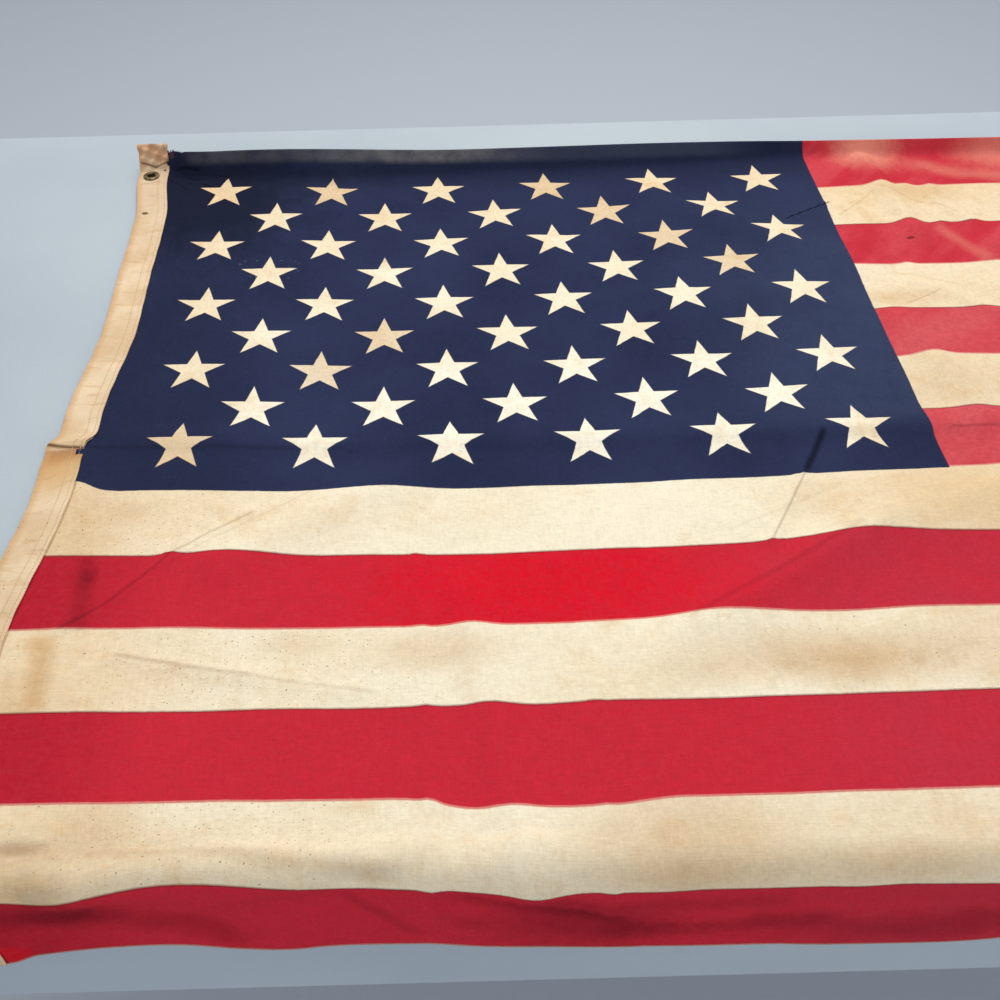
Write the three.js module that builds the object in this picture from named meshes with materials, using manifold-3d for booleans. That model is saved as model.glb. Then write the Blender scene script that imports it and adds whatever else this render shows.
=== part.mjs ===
// A worn cotton flag laid over a plain table, its lower stripes hanging over the front edge.
// Millimetres, +Z up, +X along the flag's length, +Y to the back of the table.
import * as THREE from 'three'
import { mergeVertices } from 'three/addons/utils/BufferGeometryUtils.js'
import Module from 'manifold-3d'

// ---- driving dimensions ----

// Table, a 6 by 3 foot one.
const TABLE_LENGTH = 1830
const TABLE_DEPTH = 915
const TABLE_HEIGHT = 750
const TOP_THICKNESS = 36
const LEG_SIDE = 60
const FRAME_INSET = 15
const APRON_HEIGHT = 150
const APRON_THICKNESS = 20
const JOINT_GAP = 0.3

// Flag, cut 3 by 5 feet: 13 stripes and a little more at the top edge.
const STRIPE = 69.5
const TOP_EXTRA = 10
const BOTTOM = 13 * STRIPE
const HEADING_WIDTH = 31
const CLOTH_LENGTH = 1524 - HEADING_WIDTH
const CLOTH_THICKNESS = 1.2
const TUCK = 6
const HEADING_PROUD = 16

// Where the flag lies: its hoist line and the line of its nominal top edge.
const HOIST_X = -685
const EDGE_RADIUS = TOP_THICKNESS / 2
const EDGE_CLEARANCE = 2
const FRONT_Y = -TABLE_DEPTH / 2
const STRIPES_TO_FRONT = 11.75
const TOP_LINE_Y = FRONT_Y + STRIPES_TO_FRONT * STRIPE
const SKEW = 0.044

// Heights of the cloth's middle above the table top, and how it leaves the table.
const LIE = 1.2
const HEADING_LIFT = 3.3
const ROLL_RADIUS = EDGE_RADIUS + EDGE_CLEARANCE + CLOTH_THICKNESS / 2
const HANG_ANGLE = THREE.MathUtils.degToRad(87)
const CURL_ANGLE = THREE.MathUtils.degToRad(58)
const CURL_RADIUS = 8

// Brass eyelet rings and the holes for them.
const RING_OUTER = 8.5
const RING_BORE = 3.7
const RING_BARREL = 4.3
const RING_HOLE = 4.6
const RING_IN_FROM_INNER_EDGE = 13.5
const TOP_RING_V = 14
const BOTTOM_RING_V = BOTTOM - 24

// ---- the cloth as one surface ----
// u runs from the hoist line along the flag, v down from the nominal top edge, both on the
// flat cloth. Every piece of cloth, canvas and brass is placed on this surface.

const smooth = (from, to, value) => THREE.MathUtils.smoothstep(value, from, to)
const hump = (distance, width) => Math.exp(-((distance / width) ** 2))

// Ridges and hollows of the main folds: ends, height and half width.
const FOLDS = [
  { from: [640, 538], to: [900, 476], height: 6, width: 32 },
  { from: [467, 629], to: [577, 567], height: 7, width: 26 },
  { from: [840, 180], to: [980, 90], height: 7, width: 22 },
  { from: [880, 320], to: [1010, 300], height: 6, width: 24 },
  { from: [50, 826], to: [330, 812], height: 9, width: 20 },
  { from: [300, 600], to: [330, 820], height: 5, width: 16 },
  { from: [120, 560], to: [260, 470], height: 6, width: 22 },
  { from: [0, 426], to: [1490, 440], height: 4, width: 14 },
  { from: [20, 30], to: [170, 45], height: 2, width: 20 },
  { from: [1080, 120], to: [1340, 330], height: 8, width: 34 },
  { from: [1150, 620], to: [1420, 540], height: 9, width: 32 },
  { from: [500, 70], to: [640, 170], height: 4, width: 24 },
  { from: [980, 700], to: [1010, 900], height: 6, width: 24 }
]

const foldHeight = (u, v) => FOLDS.reduce((sum, fold) => {
  const along = new THREE.Vector2(fold.to[0] - fold.from[0], fold.to[1] - fold.from[1])
  const point = new THREE.Vector2(u - fold.from[0], v - fold.from[1])
  const length = along.length()
  const reach = point.dot(along) / length
  const beyond = Math.max(0, -reach, reach - length)
  const side = Math.abs(point.cross(along)) / length
  return sum + fold.height * hump(side, fold.width) * hump(beyond, fold.width * 1.6)
}, 0)

// The hoist edge wanders a little, and steps outward at the old fold at half height.
const hoistShift = (v) => {
  const rise = 10 + 8.5 * smooth(15, 95, v) - 1.5 * smooth(130, 200, v)
  const step = 12 * smooth(270, 400, v) + 8 * smooth(418, 440, v) + 21 * smooth(480, 650, v)
  return rise - step + 14 * smooth(820, 900, v)
}

// Some of the cloth's length is taken up in the slack fold along the table's edge.
const gather = (u, v) => {
  const fold = (21 * hump(u - 115, 95) + 10.5 * hump(u - 270, 90)) * smooth(775, 850, v)
  const hem = (4 * hump(u - 45, 35) - 10 * hump(u - 152, 40)) * smooth(834, BOTTOM, v)
  return (fold + hem) * smooth(0, 20, u)
}

// How far below the nominal top edge the cloth begins to curl up, least at the heading.
const curlStart = (u) =>
  5 + (14 + 7 * hump(u - 160, 110)) * smooth(0, 28, u) - 9 * smooth(480, 720, u)

// The middle of the cloth and its upward normal at (u, v).
const onCloth = (u, v, offset = 0) => {
  const x = HOIST_X + u + SKEW * v + hoistShift(v) * (1 - smooth(0, 48, u))
  const path = v - gather(u, v)
  const lift = LIE + (HEADING_LIFT - LIE) * (1 - smooth(5, 70, u))
  const flatEnd = (TOP_LINE_Y - FRONT_Y) - (ROLL_RADIUS - EDGE_CLEARANCE - CLOTH_THICKNESS / 2)
  let y = TOP_LINE_Y - path
  let z = TABLE_HEIGHT + lift
  // The tilt turns the cloth's face towards the front, at the back curl and at the roll alike.
  let tilt = 0
  const curl = curlStart(u) - v
  const over = path - flatEnd
  if (curl > 0) {
    const turned = Math.min(curl / CURL_RADIUS, CURL_ANGLE)
    const straight = curl - turned * CURL_RADIUS
    y = TOP_LINE_Y - curlStart(u) + CURL_RADIUS * Math.sin(turned) + straight * Math.cos(turned)
    z += CURL_RADIUS * (1 - Math.cos(turned)) + straight * Math.sin(turned)
    tilt = turned
  } else if (over > 0) {
    const turned = Math.min(over / ROLL_RADIUS, HANG_ANGLE)
    const straight = over - turned * ROLL_RADIUS
    y = TOP_LINE_Y - flatEnd - ROLL_RADIUS * Math.sin(turned) - straight * Math.cos(turned)
    z -= ROLL_RADIUS * (1 - Math.cos(turned)) + straight * Math.sin(turned)
    tilt = turned
  }
  // Nearing the edge the cloth rises to clear the edge's round.
  z += 1.4 * smooth(flatEnd - 90, flatEnd, path)
  const normal = new THREE.Vector3(0, -Math.sin(tilt), Math.cos(tilt))
  const out = foldHeight(u, v) * smooth(-TUCK, 55, u) + offset
  return new THREE.Vector3(x, y, z).addScaledVector(normal, out)
}

// ---- mesh helpers ----

const closedGeometry = (points, triangles) => {
  const geometry = new THREE.BufferGeometry()
  geometry.setAttribute('position', new THREE.Float32BufferAttribute(points.flat(), 3))
  geometry.setIndex(triangles)
  return geometry
}

// A closed sweep: one ring of points for each station, capped at both ends.
const sweep = (rings, section) => {
  const count = section.length
  const points = rings.flat().map((p) => p.toArray())
  const triangles = []
  for (let i = 0; i + 1 < rings.length; i++) {
    for (let j = 0; j < count; j++) {
      const a = i * count + j
      const b = i * count + (j + 1) % count
      triangles.push(a, b, a + count, b, b + count, a + count)
    }
  }
  const last = (rings.length - 1) * count
  for (const [a, b, c] of THREE.ShapeUtils.triangulateShape(section, [])) {
    triangles.push(c, b, a)
    triangles.push(last + a, last + b, last + c)
  }
  return closedGeometry(points, triangles)
}

const stretch = (from, to, count) =>
  Array.from({ length: count }, (_, i) => from + ((to - from) * i) / count)

// ---- pieces ----

// Cloth and canvas share these rows of points down the hoist, closer together at the bends.
const ROWS = [
  ...stretch(-TOP_EXTRA, 32, 7), ...stretch(32, 410, 9), ...stretch(410, 450, 3),
  ...stretch(450, 780, 8), ...stretch(780, 840, 8), ...stretch(840, BOTTOM, 2), BOTTOM
]

const makeCloth = () => {
  const columns = [
    -TUCK, ...stretch(0, 48, 6), ...stretch(48, 1100, 28), ...stretch(1100, CLOTH_LENGTH, 8),
    CLOTH_LENGTH
  ]
  const rows = ROWS
  const half = CLOTH_THICKNESS / 2
  const points = []
  for (const side of [half, -half]) {
    for (const v of rows) {
      for (const u of columns) points.push(onCloth(u, v, side).toArray())
    }
  }
  const layer = rows.length * columns.length
  const at = (i, j) => i * columns.length + j
  const triangles = []
  const quad = (a, b, c, d) => triangles.push(a, b, c, a, c, d)
  for (let i = 0; i + 1 < rows.length; i++) {
    for (let j = 0; j + 1 < columns.length; j++) {
      quad(at(i, j), at(i + 1, j), at(i + 1, j + 1), at(i, j + 1))
      quad(layer + at(i, j), layer + at(i, j + 1), layer + at(i + 1, j + 1), layer + at(i + 1, j))
    }
  }
  const right = columns.length - 1
  const foot = rows.length - 1
  for (let i = 0; i < foot; i++) {
    quad(at(i, 0), layer + at(i, 0), layer + at(i + 1, 0), at(i + 1, 0))
    quad(at(i + 1, right), layer + at(i + 1, right), layer + at(i, right), at(i, right))
  }
  for (let j = 0; j < right; j++) {
    quad(at(0, j + 1), layer + at(0, j + 1), layer + at(0, j), at(0, j))
    quad(at(foot, j), layer + at(foot, j), layer + at(foot, j + 1), at(foot, j + 1))
  }
  return closedGeometry(points, triangles)
}

// Canvas tape folded over the cloth's edge: solid where its two layers are pressed together,
// with a slot on its inner side that takes the cloth.
const makeHeading = () => {
  const lip = CLOTH_THICKNESS / 2 + JOINT_GAP
  const section = [
    [-HEADING_WIDTH, -0.7], [-HEADING_WIDTH + 0.8, -1.2], [-8.8, -1.25], [-7.2, -lip - 1],
    [0, -lip - 1], [0, -lip], [-TUCK - 0.8, -lip], [-TUCK - 0.8, lip], [0, lip], [0, lip + 1],
    [-7.2, lip + 1], [-8.8, 1.25], [-HEADING_WIDTH + 0.8, 1.2], [-HEADING_WIDTH, 0.7]
  ].map(([across, height]) => new THREE.Vector2(across, height))
  const stations = [...stretch(-TOP_EXTRA - HEADING_PROUD, -TOP_EXTRA, 2), ...ROWS]
  const rings = stations.map((v) => section.map((p) => onCloth(p.x, v, p.y)))
  return sweep(rings, section)
}

// The ring lies square to the canvas at the hole's middle.
const placeOnHeading = (object, v) => {
  const u = -RING_IN_FROM_INNER_EDGE - 4
  const middle = onCloth(u, v)
  const normal = onCloth(u, v, 1).sub(middle).normalize()
  object.position.copy(middle)
  object.quaternion.setFromUnitVectors(new THREE.Vector3(0, 1, 0), normal)
  object.updateMatrix()
  return object
}

const makeRing = () => {
  const profile = [
    [RING_BORE, -2.2], [RING_OUTER - 0.8, -2.2], [RING_OUTER - 0.8, -1.55], [RING_BARREL, -1.55],
    [RING_BARREL, 1.55], [RING_OUTER, 1.55], [RING_OUTER - 0.2, 2.0], [RING_OUTER - 2.3, 2.6],
    [RING_BORE + 0.9, 2.5], [RING_BORE, 1.9], [RING_BORE, -2.2]
  ].map(([radius, height]) => new THREE.Vector2(radius, height))
  return new THREE.LatheGeometry(profile, 20)
}

const positionsOnly = (geometry) => {
  const bare = geometry.clone()
  bare.deleteAttribute('normal')
  bare.deleteAttribute('uv')
  return mergeVertices(bare)
}

const wasm = await Module()
wasm.setup()

const toSolid = (geometry) => {
  const bare = positionsOnly(geometry)
  return new wasm.Manifold(new wasm.Mesh({
    numProp: 3,
    vertProperties: Float32Array.from(bare.attributes.position.array),
    triVerts: Uint32Array.from(bare.index.array)
  }))
}

const toGeometry = (solid) => {
  const mesh = solid.getMesh()
  const geometry = new THREE.BufferGeometry()
  geometry.setAttribute('position', new THREE.BufferAttribute(mesh.vertProperties, 3))
  geometry.setIndex(new THREE.BufferAttribute(mesh.triVerts, 1))
  return geometry
}

const punch = (geometry, stations) => {
  let solid = toSolid(geometry)
  for (const v of stations) {
    const punchShape = new THREE.CylinderGeometry(RING_HOLE, RING_HOLE, 8, 20)
    const placed = placeOnHeading(new THREE.Mesh(punchShape), v)
    solid = solid.subtract(toSolid(punchShape.applyMatrix4(placed.matrix)))
  }
  return toGeometry(solid)
}

// Table top: a board whose front and back edges are fully rounded.
const makeTableTop = () => {
  const outline = new THREE.Shape()
  const reach = TABLE_DEPTH / 2 - EDGE_RADIUS
  outline.absarc(reach, 0, EDGE_RADIUS, -Math.PI / 2, Math.PI / 2)
  outline.absarc(-reach, 0, EDGE_RADIUS, Math.PI / 2, (3 * Math.PI) / 2)
  const options = { depth: TABLE_LENGTH, bevelEnabled: false, curveSegments: 10 }
  const board = new THREE.ExtrudeGeometry(outline, options)
  // The outline's x is the table's depth and its y the height; the board runs along X.
  board.applyMatrix4(new THREE.Matrix4().makeBasis(
    new THREE.Vector3(0, 1, 0), new THREE.Vector3(0, 0, 1), new THREE.Vector3(1, 0, 0)
  ))
  return board.translate(-TABLE_LENGTH / 2, 0, TABLE_HEIGHT - EDGE_RADIUS)
}

// ---- the model ----

const finish = (color, roughness, metalness = 0) =>
  new THREE.MeshStandardMaterial({ color, roughness, metalness })

const model = new THREE.Group()

const addPiece = (name, geometry, material) => {
  const piece = new THREE.Mesh(geometry, material)
  piece.name = name
  model.add(piece)
  return piece
}

addPiece('flag_field', makeCloth(), finish(0xc8243a, 0.9))
addPiece('heading', punch(makeHeading(), [TOP_RING_V, BOTTOM_RING_V]), finish(0xe3c49a, 0.95))
for (const [name, v] of [['grommet_top', TOP_RING_V], ['grommet_bottom', BOTTOM_RING_V]]) {
  placeOnHeading(addPiece(name, makeRing(), finish(0x6b5a3a, 0.45, 1)), v)
}

const paint = () => finish(0xa9b8c2, 0.6)
addPiece('table_top', makeTableTop(), paint())

const frameTop = TABLE_HEIGHT - TOP_THICKNESS - JOINT_GAP
const legX = TABLE_LENGTH / 2 - FRAME_INSET - LEG_SIDE / 2
const legY = TABLE_DEPTH / 2 - FRAME_INSET - LEG_SIDE / 2
for (const [side, sx] of [['left', -1], ['right', 1]]) {
  for (const [end, sy] of [['front', -1], ['back', 1]]) {
    const leg = new THREE.BoxGeometry(LEG_SIDE, LEG_SIDE, frameTop)
    addPiece(`leg_${end}_${side}`, leg, paint()).position.set(sx * legX, sy * legY, frameTop / 2)
  }
}

const apronZ = frameTop - APRON_HEIGHT / 2
const apronOut = FRAME_INSET + APRON_THICKNESS / 2
const longApron = TABLE_LENGTH - 2 * (FRAME_INSET + LEG_SIDE + JOINT_GAP)
const shortApron = TABLE_DEPTH - 2 * (FRAME_INSET + LEG_SIDE + JOINT_GAP)
for (const [end, sy] of [['front', -1], ['back', 1]]) {
  const rail = new THREE.BoxGeometry(longApron, APRON_THICKNESS, APRON_HEIGHT)
  const y = sy * (TABLE_DEPTH / 2 - apronOut)
  addPiece(`apron_${end}`, rail, paint()).position.set(0, y, apronZ)
}
for (const [side, sx] of [['left', -1], ['right', 1]]) {
  const rail = new THREE.BoxGeometry(APRON_THICKNESS, shortApron, APRON_HEIGHT)
  const x = sx * (TABLE_LENGTH / 2 - apronOut)
  addPiece(`apron_${side}`, rail, paint()).position.set(x, 0, apronZ)
}

// The origin is at the middle of the model's footprint, on the floor.
const box = new THREE.Box3().setFromObject(model, true)
const centre = box.getCenter(new THREE.Vector3())
model.position.set(-centre.x, -centre.y, -box.min.z)
model.updateMatrixWorld(true)

export default model
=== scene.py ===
"""A worn printed cotton flag laid over a plain table, its lower stripes hanging in front."""

import math

import bpy
import numpy as np
from mathutils import Matrix, Vector


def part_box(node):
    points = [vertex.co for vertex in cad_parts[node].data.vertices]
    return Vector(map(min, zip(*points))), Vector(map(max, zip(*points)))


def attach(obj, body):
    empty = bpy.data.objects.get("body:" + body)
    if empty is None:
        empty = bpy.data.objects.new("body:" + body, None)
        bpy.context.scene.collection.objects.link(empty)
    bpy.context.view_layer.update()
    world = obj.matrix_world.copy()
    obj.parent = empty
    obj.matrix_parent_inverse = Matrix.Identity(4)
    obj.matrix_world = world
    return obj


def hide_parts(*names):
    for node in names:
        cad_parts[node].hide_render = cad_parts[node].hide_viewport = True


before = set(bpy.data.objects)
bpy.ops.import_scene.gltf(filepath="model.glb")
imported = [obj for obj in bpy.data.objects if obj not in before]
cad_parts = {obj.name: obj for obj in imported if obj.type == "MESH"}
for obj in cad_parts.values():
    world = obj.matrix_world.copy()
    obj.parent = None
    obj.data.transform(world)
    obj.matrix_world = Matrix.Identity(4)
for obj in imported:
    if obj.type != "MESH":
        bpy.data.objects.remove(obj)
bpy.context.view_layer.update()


# ---------------------------------------------------------------- room, light and camera
# A pale floor, a large soft light high behind the table, a weak one in front of it and an
# even pale surround. They belong to the studio and not to the flag.

MM = 0.001


def paint(red, green, blue):
    """A colour as it looks on a screen, 0 to 255, as the linear light a material holds."""
    light = []
    for part in (red, green, blue):
        part = part / 255
        light.append(part / 12.92 if part < 0.04045 else ((part + 0.055) / 1.055) ** 2.4)
    return (*light, 1.0)


class Wire:
    """One socket in a material. Arithmetic on it adds the Math nodes."""

    def __init__(self, tree, socket):
        self.tree = tree
        self.socket = socket

    def node(self, kind, settings=None, sockets=None, out=0):
        """Adds a node: its settings first, then values or wires on its sockets."""
        made = self.tree.nodes.new(kind)
        for name, value in (settings or {}).items():
            setattr(made, name, value)
        for name, value in (sockets or {}).items():
            if isinstance(value, Wire):
                self.tree.links.new(value.socket, made.inputs[name])
            else:
                made.inputs[name].default_value = value
        return Wire(self.tree, made.outputs[out])

    def math(self, operation, first, second=0.0, third=0.0):
        """One Math node with up to three numbers or wires."""
        sockets = {0: first, 1: second, 2: third}
        return self.node("ShaderNodeMath", {"operation": operation}, sockets)

    def dot(self, other):
        """How far this place lies along a direction."""
        settings = {"operation": "DOT_PRODUCT"}
        return self.node("ShaderNodeVectorMath", settings, {0: self, 1: other}, "Value")

    def __add__(self, other):
        return self.math("ADD", self, other)

    __radd__ = __add__

    def __sub__(self, other):
        return self.math("SUBTRACT", self, other)

    def __rsub__(self, other):
        return self.math("SUBTRACT", other, self)

    def __mul__(self, other):
        return self.math("MULTIPLY", self, other)

    __rmul__ = __mul__

    def __truediv__(self, other):
        return self.math("DIVIDE", self, other)

    def __pow__(self, other):
        return self.math("POWER", self, other)

    def __mod__(self, other):
        return self.math("FLOORED_MODULO", self, other)

    def __gt__(self, other):
        return self.math("GREATER_THAN", self, other)

    def __lt__(self, other):
        return self.math("LESS_THAN", self, other)

    def __abs__(self):
        return self.math("ABSOLUTE", self)

    def least(self, other):
        """The smaller of the two."""
        return self.math("MINIMUM", self, other)

    def most(self, other):
        """The larger of the two."""
        return self.math("MAXIMUM", self, other)

    def step(self, low, high):
        """0 before low, 1 after high, with a soft rise between them."""
        ends = {"Value": self, "From Min": low, "From Max": high}
        return self.node("ShaderNodeMapRange", {"interpolation_type": "SMOOTHSTEP"}, ends)

    def between(self, one, other, share):
        """A colour from one to the other."""
        return self.node("ShaderNodeMix", {"data_type": "RGBA"}, {0: share, 6: one, 7: other}, 2)

    def toward(self, other, share):
        """This colour mixed towards another one."""
        return self.between(self, other, share)

    def shaded(self, factor):
        """This colour made lighter or darker by a number."""
        sockets = {0: self, "Scale": factor}
        return self.node("ShaderNodeVectorMath", {"operation": "SCALE"}, sockets)

    def point(self, x, y):
        """A place made from two numbers."""
        return self.node("ShaderNodeCombineXYZ", None, {0: x, 1: y})

    def noise(self, place, scale, detail=2.0, roughness=0.5):
        """Uneven patches, about 0 to 1, with a mean near one half."""
        sockets = {"Vector": place, "Scale": scale, "Detail": detail, "Roughness": roughness}
        return self.node("ShaderNodeTexNoise", None, sockets)


def new_material(name, roughness=0.8, metallic=0.0, specular=0.5):
    """A material with its one surface shader, and a wire to start its sums from."""
    material = bpy.data.materials.new(name)
    material.use_nodes = True
    surface = material.node_tree.nodes["Principled BSDF"]
    surface.inputs["Roughness"].default_value = roughness
    surface.inputs["Metallic"].default_value = metallic
    surface.inputs["Specular IOR Level"].default_value = specular
    return material, surface, Wire(material.node_tree, None)


def plug(wire, surface, socket):
    """Joins a wire to one socket of the surface shader."""
    wire.tree.links.new(wire.socket, surface.inputs[socket])


def raise_grain(wire, surface, height, depth):
    """Makes a height, in metres, show as relief on the surface."""
    settings = {"Height": height, "Strength": 1.0, "Distance": depth}
    plug(wire.node("ShaderNodeBump", None, settings), surface, "Normal")


def add_mesh(name, points, faces, material):
    """A smooth-shaded object in one material."""
    mesh = bpy.data.meshes.new(name)
    mesh.from_pydata([tuple(p) for p in points], [], [tuple(int(i) for i in f) for f in faces])
    mesh.materials.append(material)
    mesh.polygons.foreach_set("use_smooth", [True] * len(mesh.polygons))
    mesh.update()
    made = bpy.data.objects.new(name, mesh)
    bpy.context.scene.collection.objects.link(made)
    return made


scene = bpy.context.scene
scene.view_settings.view_transform = "Standard"

floor_material, floor_surface, _ = new_material("floor_paint", 0.9)
floor_surface.inputs["Base Color"].default_value = paint(178, 186, 195)
FLOOR_REACH = 14.0
corners = [(-1, -1), (1, -1), (1, 1), (-1, 1)]
floor_points = [(x * FLOOR_REACH, y * FLOOR_REACH, 0) for x, y in corners]
floor = add_mesh("floor", floor_points, [(0, 1, 2, 3)], floor_material)

world = bpy.data.worlds.new("surround")
scene.world = world
world.use_nodes = True
world.node_tree.nodes["Background"].inputs["Color"].default_value = (0.93, 0.96, 1.0, 1.0)
world.node_tree.nodes["Background"].inputs["Strength"].default_value = 0.62


def soft_disk(name, size, watts, colour, stand, aim_at):
    """A round area light, in metres and watts, turned towards a place."""
    light = bpy.data.lights.new(name, "AREA")
    light.shape = "DISK"
    light.size = size
    light.energy = watts
    light.color = colour
    made = bpy.data.objects.new(name, light)
    made.location = stand
    aim = Vector(aim_at) - Vector(stand)
    made.rotation_euler = aim.to_track_quat("-Z", "Y").to_euler()
    scene.collection.objects.link(made)


soft_disk("soft_light", 2.6, 56, (1.0, 0.97, 0.92), (-0.2, 1.5, 2.9), (-0.2, -0.1, 0.75))
# A weak, wide light in front keeps the hanging stripes from going dull.
soft_disk("front_fill", 2.4, 10.5, (0.97, 0.98, 1.0), (-0.3, -2.6, 0.9), (-0.3, -0.4, 0.68))

# The camera stands before the front edge and looks down across the star field. Its stand is
# told from the middle of the board, its front edge and its top.
CAMERA_DOWN = 0.79184
CAMERA_ROLL = -0.027013
CAMERA_LEFT = 0.3318
CAMERA_BEFORE = 0.34157
CAMERA_ABOVE = 0.6619
camera_data = bpy.data.cameras.new("camera")
camera_data.lens = 43.2
camera_data.sensor_width = 36
camera_data.clip_start = 0.05
camera = bpy.data.objects.new("camera", camera_data)
ahead = Vector((0, math.cos(CAMERA_DOWN), -math.sin(CAMERA_DOWN)))
level = Vector((1, 0, 0))
upward = level.cross(ahead)
across = math.cos(CAMERA_ROLL) * level + math.sin(CAMERA_ROLL) * upward
upward = -math.sin(CAMERA_ROLL) * level + math.cos(CAMERA_ROLL) * upward
turned = Matrix((across, upward, -ahead)).transposed().to_4x4()
board_low, board_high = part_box("table_top")
stand = Vector((-CAMERA_LEFT, board_low.y - CAMERA_BEFORE, board_high.z + CAMERA_ABOVE))
camera.matrix_world = Matrix.Translation(stand) @ turned
scene.collection.objects.link(camera)
scene.camera = camera


# ---------------------------------------------------------------- table
# A plain wooden table, 1.83 by 0.915 metres, in one coat of pale blue-grey paint.
# Its board has rounded front and back edges and stands on a frame of rails and four legs.

table_material, table_surface, w = new_material("blue_grey_paint", 0.55, specular=0.4)
place = w.node("ShaderNodeTexCoord", out=3)
cloudy = w.noise(place, 3.0, 3.0)
fine = w.noise(place, 90.0, 3.0)
rubbed = w.noise(place, 11.0, 5.0, 0.65).step(0.62, 0.74)
coat = w.between(paint(166, 177, 186), paint(176, 187, 195), cloudy.step(0.3, 0.7))
coat = coat.toward(paint(160, 169, 176), rubbed * 0.3)
plug(coat, table_surface, "Base Color")
plug(fine * 0.12 + 0.48, table_surface, "Roughness")
raise_grain(w, table_surface, w.noise(place, 240.0, 2.0), 0.0002)

TABLE_NODES = [
    "table_top", "apron_front", "apron_back", "apron_left", "apron_right",
    "leg_front_left", "leg_front_right", "leg_back_left", "leg_back_right",
]
for name in TABLE_NODES:
    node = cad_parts[name]
    node.data.materials.clear()
    node.data.materials.append(table_material)
    edge = node.modifiers.new("softened_edges", "BEVEL")
    edge.width = 1.6 * MM
    edge.segments = 2
    edge.limit_method = "ANGLE"
    edge.angle_limit = math.radians(50)


# ---------------------------------------------------------------- flag cloth
# One length of plain-woven cotton, printed in red and blue so that the stripes and stars are
# the cloth's own cream. It lies on the table, its top edge curls up off the board, and its
# lowest stripes roll over the front edge and hang. All sizes here are millimetres.

STRIPE = 69.5
BOTTOM = 13 * STRIPE
TOP_EXTRA = 10
HEADING_WIDTH = 31
CLOTH_LENGTH = 1524 - HEADING_WIDTH
TUCK = 6
CLOTH_HALF = 0.3
SKEW = 0.044
LIE = 1.2
HEADING_LIFT = 3.3
ROLL_RADIUS = 20.6
EDGE_RADIUS = 18
HANG_ANGLE = math.radians(87)
CURL_ANGLE = math.radians(58)
CURL_RADIUS = 8

table_low, table_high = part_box("table_top")
TABLE_FRONT = table_low.y / MM
TABLE_TOP = table_high.z / MM
TOP_LINE_Y = TABLE_FRONT + 11.75 * STRIPE
FLAT_END = 11.75 * STRIPE - EDGE_RADIUS
HOIST_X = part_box("flag_field")[1].x / MM - CLOTH_LENGTH - SKEW * BOTTOM


def smooth(start, end, value):
    """0 before start, 1 after end, with a soft rise between them."""
    share = np.clip((value - start) / (end - start), 0, 1)
    return share * share * (3 - 2 * share)


def hump(distance, width):
    """1 at no distance, falling off softly on both sides."""
    return np.exp(-((distance / width) ** 2))


def ridge(u, v, start, end, height, width):
    """A fold from start to end, rounded off at both of its ends."""
    run = np.subtract(end, start)
    length = np.hypot(*run)
    reach = ((u - start[0]) * run[0] + (v - start[1]) * run[1]) / length
    beyond = np.maximum(np.maximum(-reach, reach - length), 0)
    side = ((u - start[0]) * run[1] - (v - start[1]) * run[0]) / length
    return height * hump(side, width) * hump(beyond, width * 1.6)


# Start, end, height and half width of the broad folds.
BROAD_FOLDS = [
    ((640, 538), (900, 476), 6, 32), ((467, 629), (577, 567), 7, 26),
    ((840, 180), (980, 90), 7, 22), ((880, 320), (1010, 300), 6, 24),
    ((50, 826), (330, 812), 9, 20), ((300, 600), (330, 820), 5, 16),
    ((120, 560), (260, 470), 6, 22), ((0, 426), (1490, 440), 4, 14),
    ((20, 30), (170, 45), 2, 20), ((1080, 120), (1340, 330), 8, 34),
    ((1150, 620), (1420, 540), 9, 32), ((500, 70), (640, 170), 4, 24),
    ((980, 700), (1010, 900), 6, 24),
]
# Sharper creases and small puckers.
CREASES = [
    ((-5, 437), (700, 440), 1.6, 4), ((700, 440), (1490, 446), 1.4, 5),
    ((467, 629), (611, 548), 2.2, 10), ((611, 548), (719, 512), 1.2, 11),
    ((593, 446), (530, 557), 2.6, 4), ((26, 622), (83, 557), 2.2, 6),
    ((83, 557), (140, 512), 2.2, 5), ((92, 746), (116, 719), 1.0, 3),
    ((266, 557), (272, 764), 1.8, 5), ((272, 764), (268, 860), 2.4, 6),
    ((383, 640), (377, 880), 1.4, 5), ((8, 5), (41, 11), -2.0, 3),
    ((8, 12), (45, 22), -2.0, 3), ((8, 20), (40, 36), -1.6, 3),
    ((644, 125), (689, 101), 2.4, 4), ((745, 20), (760, 150), 7.0, 12),
    ((706, 300), (728, 400), 5.0, 14), ((775, 70), (830, 150), 3.0, 7),
    ((805, 40), (790, 140), 2.2, 6), ((740, 240), (800, 290), 2.4, 8),
    ((120, 880), (300, 800), -3.0, 12), ((1060, 40), (1130, 300), 2.6, 8),
    ((1190, 480), (1330, 700), 3.0, 9), ((1000, 560), (1120, 610), 2.4, 7),
    ((200, 20), (260, 70), 1.6, 6), ((420, 250), (520, 232), 1.2, 6),
    ((284, 848), (386, 872), -3.0, 12), ((560, 850), (640, 890), -3.0, 12),
    ((30, 845), (150, 887), -2.5, 13), ((880, 840), (930, 900), 4.0, 16),
    ((56, 650), (149, 668), 2.4, 6), ((149, 668), (221, 680), 1.8, 7),
    ((20, 794), (120, 804), -1.8, 9), ((716, 176), (740, 214), 2.0, 6),
]

# Slack waves of the cloth: their direction, their length and where each begins.
SLACK = 0.32
SLACK_SUNK = 0.4
waver = np.random.default_rng(7)
WAVES = [
    (waver.uniform(-math.pi, math.pi), waver.uniform(70, 260), waver.uniform(0, 2 * math.pi))
    for _ in range(14)
]


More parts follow.
